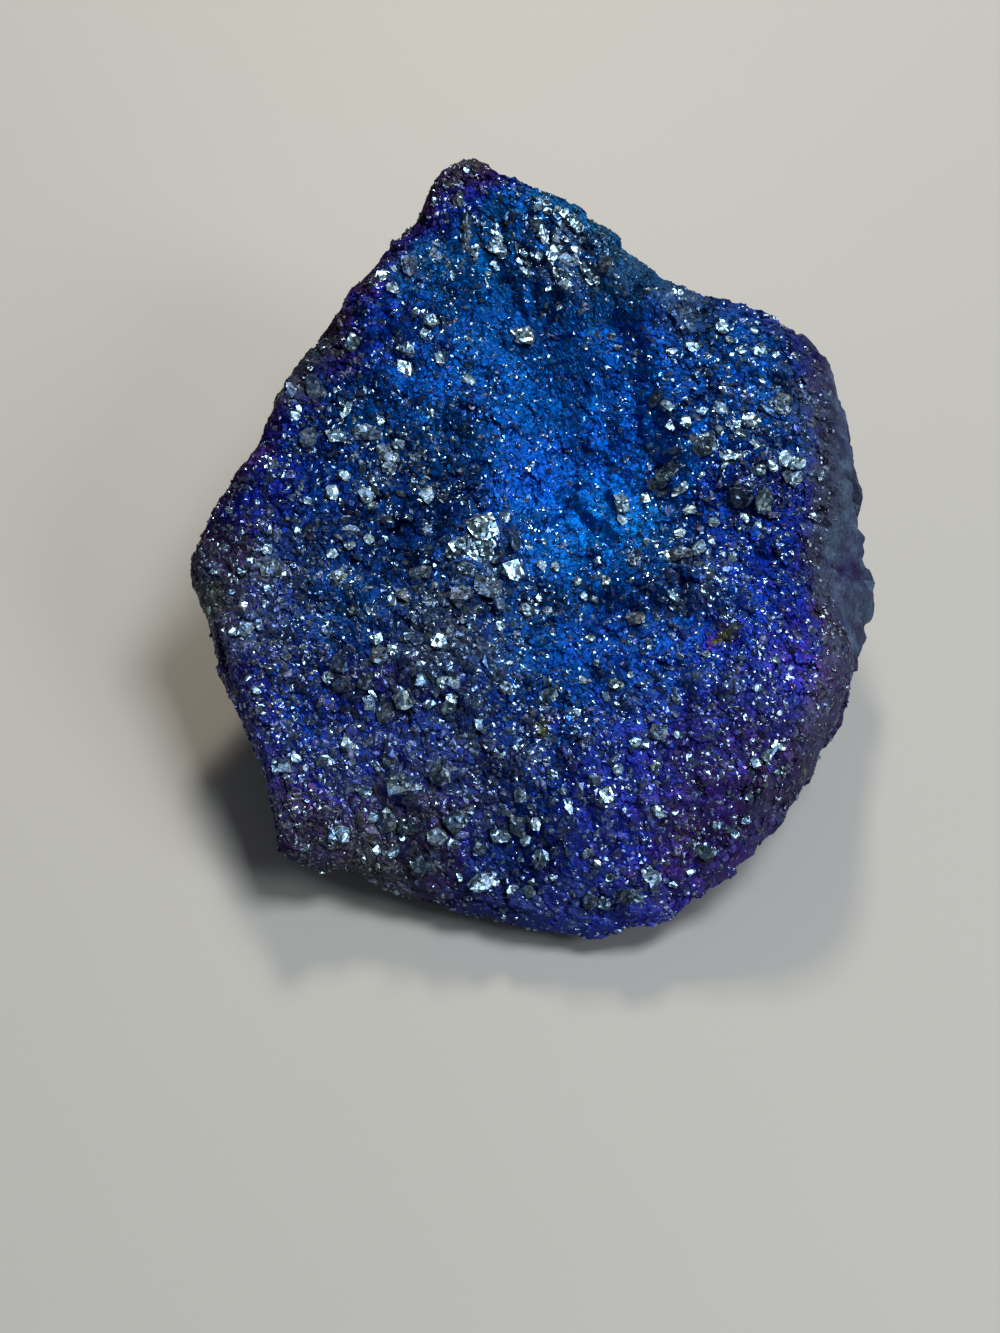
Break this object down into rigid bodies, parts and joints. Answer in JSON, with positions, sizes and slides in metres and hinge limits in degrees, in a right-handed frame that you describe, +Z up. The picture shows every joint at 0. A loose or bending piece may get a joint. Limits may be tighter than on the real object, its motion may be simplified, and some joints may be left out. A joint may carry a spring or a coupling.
{
  "type": "peacock ore specimen",
  "caption": "Loose chunk of tarnished copper ore with a blue and violet metallic upper face, grown crystals and a flat break to rest on.",
  "frame": {"origin": "middle of the chunk's footprint, on the flat break that it rests on", "axes": "+Z up, +Y towards the blunt peak, along the longest extent; the upper face leans down towards -Y"},
  "size_m": [0.044, 0.0504, 0.0203],
  "materials": {
    "peacock_ore": "glittering metallic tarnish over crystalline grains"
  },
  "bodies": {
    "root": {"peacock_ore": "peacock_ore"}
  },
  "joints": []
}
